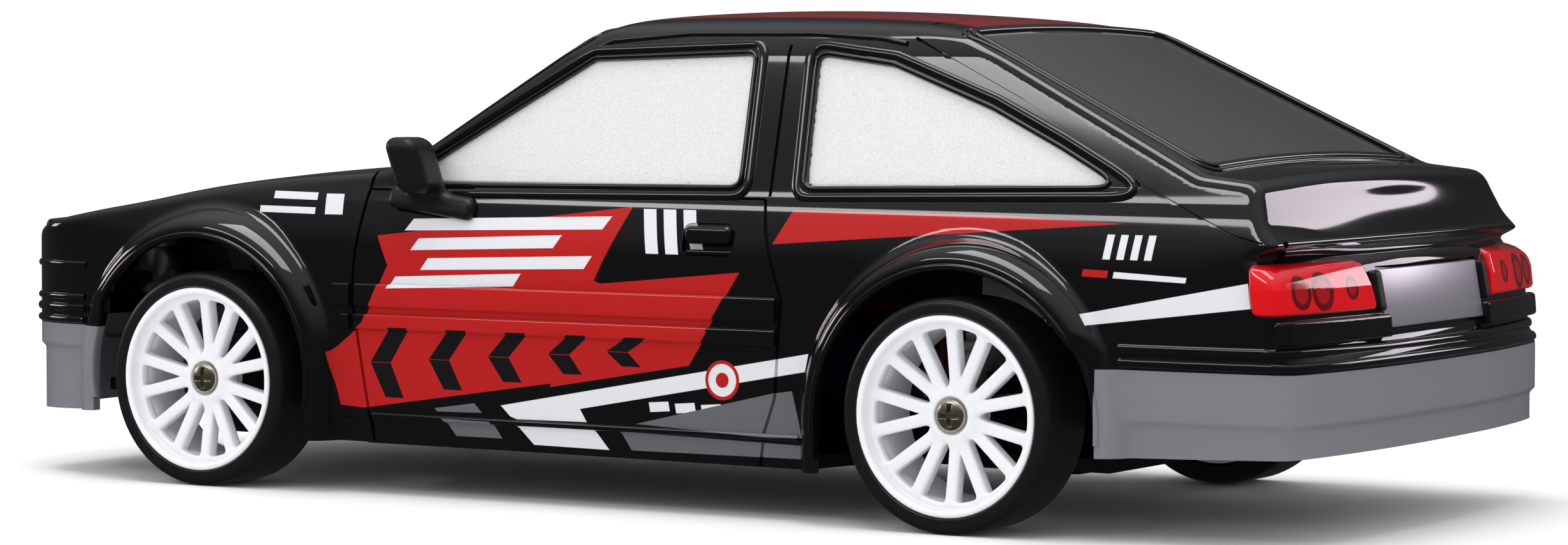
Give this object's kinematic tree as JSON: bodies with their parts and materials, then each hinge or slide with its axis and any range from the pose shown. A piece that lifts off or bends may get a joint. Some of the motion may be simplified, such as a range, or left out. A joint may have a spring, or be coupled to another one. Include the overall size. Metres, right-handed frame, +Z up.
{
  "type": "rc drift car",
  "caption": "Radio-controlled drift car: hard hatchback body shell on a four-wheel-drive chassis with bevel gears, steered front wheels and screwed-on spoked wheels.",
  "frame": {"origin": "on the ground under the middle of the car's length and width", "axes": "+X towards the front of the car, +Y to its left, +Z up"},
  "size_m": [0.175, 0.074, 0.0555],
  "materials": {
    "body_paint": "high-gloss black lacquer on a hard plastic shell, with a grey lower bumper band and red, white and grey printed shapes",
    "window_silver": "opaque satin silver with a fine grain",
    "smoked_glass": "dark smoked gloss panel",
    "lamp_red": "translucent red lens over ring reflectors",
    "lamp_clear": "clear lens over a bright reflector",
    "plate_silver": "silver satin panel",
    "trim_black": "matte black moulded trim",
    "chassis_black": "fine-grained black nylon",
    "battery_wrap": "printed shrink sleeve, blank",
    "contact_steel": "nickel-plated pressed steel",
    "board_green": "solder-masked board",
    "screw_steel": "nickel-plated steel",
    "shaft_steel": "ground steel",
    "wire_red": "soft plastic insulation",
    "gear_nylon": "natural white nylon",
    "brass": "machined brass",
    "wheel_white": "bright white moulded plastic, satin",
    "tyre": "smooth hard black drift tyre"
  },
  "bodies": {
    "chassis": {"body_shell": "body_paint", "door_window_left": "window_silver", "door_window_right": "window_silver", "quarter_window_left": "window_silver", "quarter_window_right": "window_silver", "windscreen": "smoked_glass", "hatch_glass": "smoked_glass", "tail_lamp_left": "lamp_red", "tail_lamp_right": "lamp_red", "plate_panel": "plate_silver", "front_grille": "trim_black", "headlamps": "lamp_clear", "door_mirror_left": "trim_black", "door_mirror_right": "trim_black", "chassis_tray": "chassis_black", "gearbox_cover_front": "chassis_black", "gearbox_cover_rear": "chassis_black", "battery": "battery_wrap", "battery_cover": "chassis_black", "battery_contacts": "contact_steel", "control_board": "board_green", "motor": "contact_steel", "steering_servo": "chassis_black", "charge_socket": "chassis_black", "power_switch": "chassis_black", "body_screws": "screw_steel", "small_screws": "screw_steel", "wires": "wire_red", "kingpins": "screw_steel"},
    "rear_axle": {"rear_axle": "shaft_steel", "crown_gear_rear": "gear_nylon", "tyre_rear_left": "tyre", "tyre_rear_right": "tyre", "rim_rear_left": "wheel_white", "rim_rear_right": "wheel_white", "wheel_screw_rear_left": "screw_steel", "wheel_screw_rear_right": "screw_steel"},
    "front_drive": {"front_spool": "chassis_black", "crown_gear_front": "gear_nylon", "dogbone_left": "shaft_steel", "dogbone_right": "shaft_steel"},
    "center_shaft": {"center_shaft": "shaft_steel", "bevel_pinion_front": "gear_nylon", "bevel_pinion_rear": "gear_nylon", "spur_gear": "gear_nylon"},
    "motor_rotor": {"motor_shaft": "shaft_steel", "motor_pinion": "brass"},
    "knuckle_left": {"knuckle_left": "chassis_black"},
    "knuckle_right": {"knuckle_right": "chassis_black"},
    "wheel_left": {"stub_axle_left": "chassis_black", "rim_front_left": "wheel_white", "tyre_front_left": "tyre", "wheel_screw_front_left": "screw_steel"},
    "wheel_right": {"stub_axle_right": "chassis_black", "rim_front_right": "wheel_white", "tyre_front_right": "tyre", "wheel_screw_front_right": "screw_steel"},
    "tie_bar": {"tie_bar": "chassis_black"},
    "servo_arm": {"servo_arm": "chassis_black"},
    "switch_slider": {"switch_slider": "chassis_black"}
  },
  "joints": [
    {"name": "rear_axle_spin", "type": "hinge", "parent": "chassis", "child": "rear_axle", "pos_m": [-0.046, 0, 0.0125], "axis": [0, 1, 0], "continuous": true},
    {"name": "front_drive_spin", "type": "hinge", "parent": "chassis", "child": "front_drive", "pos_m": [0.054, 0, 0.0125], "axis": [0, 1, 0], "continuous": true},
    {"name": "center_shaft_spin", "type": "hinge", "parent": "chassis", "child": "center_shaft", "pos_m": [0, 0, 0.0125], "axis": [1, 0, 0], "continuous": true},
    {"name": "motor_spin", "type": "hinge", "parent": "chassis", "child": "motor_rotor", "pos_m": [0, -0.00916, 0.0171], "axis": [1, 0, 0], "continuous": true},
    {"name": "steer_left", "type": "hinge", "parent": "chassis", "child": "knuckle_left", "pos_m": [0.054, 0.0245, 0.0125], "axis": [0, 0, 1], "range_deg": [-25, 25]},
    {"name": "steer_right", "type": "hinge", "parent": "chassis", "child": "knuckle_right", "pos_m": [0.054, -0.0245, 0.0125], "axis": [0, 0, 1], "range_deg": [-25, 25]},
    {"name": "wheel_left_spin", "type": "hinge", "parent": "knuckle_left", "child": "wheel_left", "pos_m": [0.054, 0.0245, 0.0125], "axis": [0, 1, 0], "continuous": true},
    {"name": "wheel_right_spin", "type": "hinge", "parent": "knuckle_right", "child": "wheel_right", "pos_m": [0.054, -0.0245, 0.0125], "axis": [0, 1, 0], "continuous": true},
    {"name": "tie_bar_slide", "type": "slide", "parent": "chassis", "child": "tie_bar", "axis": [0, 1, 0], "range_m": [-0.0037, 0.0037]},
    {"name": "servo_arm_turn", "type": "hinge", "parent": "chassis", "child": "servo_arm", "pos_m": [0.037, 0, 0.0125], "axis": [0, 0, 1], "range_deg": [-25, 25]},
    {"name": "switch_slide", "type": "slide", "parent": "chassis", "child": "switch_slider", "axis": [1, 0, 0], "range_m": [0, 0.002]}
  ],
  "couplings": [
    {"joint": "front_drive_spin", "follows": "rear_axle_spin", "ratio": 1},
    {"joint": "center_shaft_spin", "follows": "rear_axle_spin", "ratio": -2},
    {"joint": "motor_spin", "follows": "rear_axle_spin", "ratio": 5.4545},
    {"joint": "wheel_left_spin", "follows": "rear_axle_spin", "ratio": 1},
    {"joint": "wheel_right_spin", "follows": "rear_axle_spin", "ratio": 1},
    {"joint": "steer_right", "follows": "steer_left", "ratio": 1},
    {"joint": "tie_bar_slide", "follows": "steer_left", "m_per_rad": -0.0082328},
    {"joint": "servo_arm_turn", "follows": "steer_left", "ratio": -1}
  ]
}
